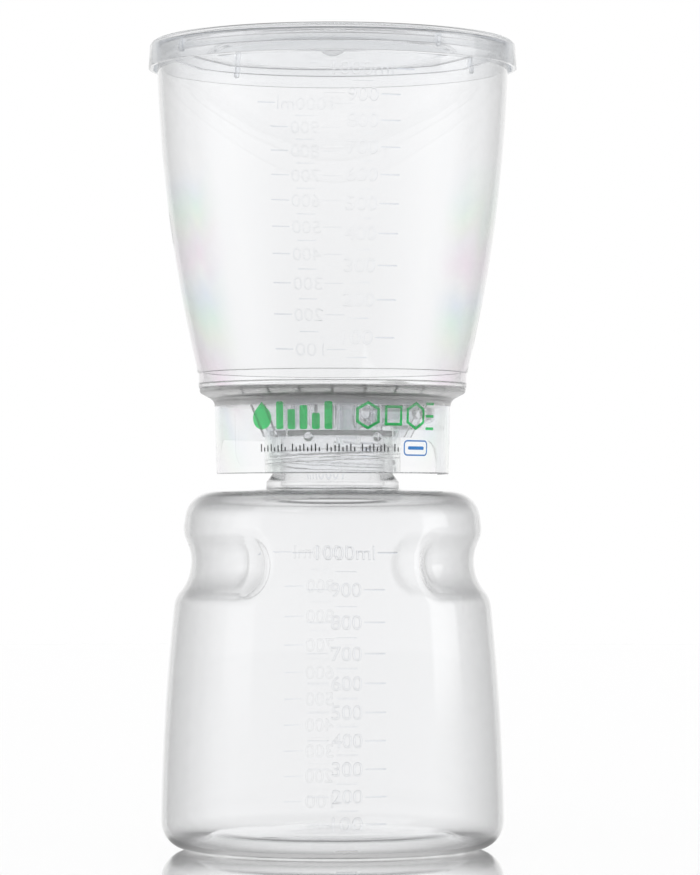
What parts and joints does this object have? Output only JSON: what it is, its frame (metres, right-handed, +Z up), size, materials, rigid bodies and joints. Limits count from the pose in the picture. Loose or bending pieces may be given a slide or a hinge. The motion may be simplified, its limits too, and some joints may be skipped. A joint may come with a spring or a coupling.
{
  "type": "vacuum filtration unit",
  "caption": "Clear plastic laboratory filter: a lidded funnel on a membrane filter head that screws onto a waisted, graduated receiver bottle.",
  "frame": {"origin": "on the common vertical axis, in the plane that the bottle stands on", "axes": "+Z up along the common axis of bottle, filter head, funnel and lid; -Y towards the front, where the scales face; the vacuum port points to the back right"},
  "size_m": [0.1292, 0.1292, 0.2827],
  "materials": {
    "clear_bottle": "clear moulded polystyrene, polished",
    "clear_head": "clear moulded polystyrene with a lightly frosted print field",
    "clear_funnel": "clear moulded polystyrene, polished",
    "clear_lid": "clear moulded polystyrene, polished",
    "gasket_rubber": "translucent silicone",
    "membrane_white": "matt white micro-porous membrane",
    "plug_fibre": "packed grey fibre"
  },
  "bodies": {
    "bottle": {"receiver_bottle": "clear_bottle"},
    "gasket": {"neck_gasket": "gasket_rubber"},
    "head": {"filter_base": "clear_head", "membrane": "membrane_white", "port_plug": "plug_fibre", "funnel": "clear_funnel"},
    "cover": {"lid": "clear_lid"}
  },
  "joints": [
    {"name": "gasket_rise", "type": "slide", "parent": "bottle", "child": "gasket", "axis": [0, 0, 1], "range_m": [0, 0.00625]},
    {"name": "head_unscrew", "type": "hinge", "parent": "gasket", "child": "head", "pos_m": [0, 0, 0], "axis": [0, 0, 1], "range_deg": [0, 450]},
    {"name": "lid_lift", "type": "slide", "parent": "head", "child": "cover", "axis": [0, 0, 1], "range_m": [0, 0.01]}
  ],
  "couplings": [
    {"joint": "gasket_rise", "follows": "head_unscrew", "m_per_rad": 0.00079577}
  ]
}
